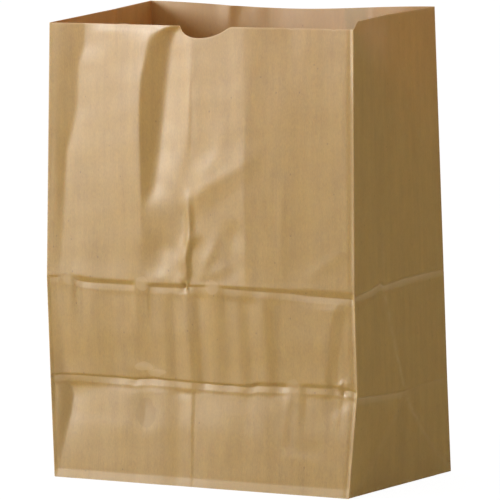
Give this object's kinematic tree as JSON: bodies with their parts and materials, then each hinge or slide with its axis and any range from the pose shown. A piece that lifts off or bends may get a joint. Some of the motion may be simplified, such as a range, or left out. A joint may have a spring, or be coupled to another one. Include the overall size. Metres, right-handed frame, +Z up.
{
  "type": "paper lunch bag",
  "caption": "Brown kraft paper lunch bag standing open, with gusseted sides, a folded block bottom, level creases low on its walls and a thumb notch in the front edge.",
  "frame": {"origin": "middle of the underside, on the surface that the bag stands on", "axes": "+Z up to the open mouth; -Y out of the front panel, which has the thumb notch; +X to the right as the front is seen"},
  "size_m": [0.2662, 0.1772, 0.3595],
  "materials": {
    "kraft_paper": "matt brown kraft paper with fine upright fibre streaks, a slight calendered sheen and paler worn crease lines"
  },
  "bodies": {
    "root": {"paper_bag": "kraft_paper"}
  },
  "joints": []
}
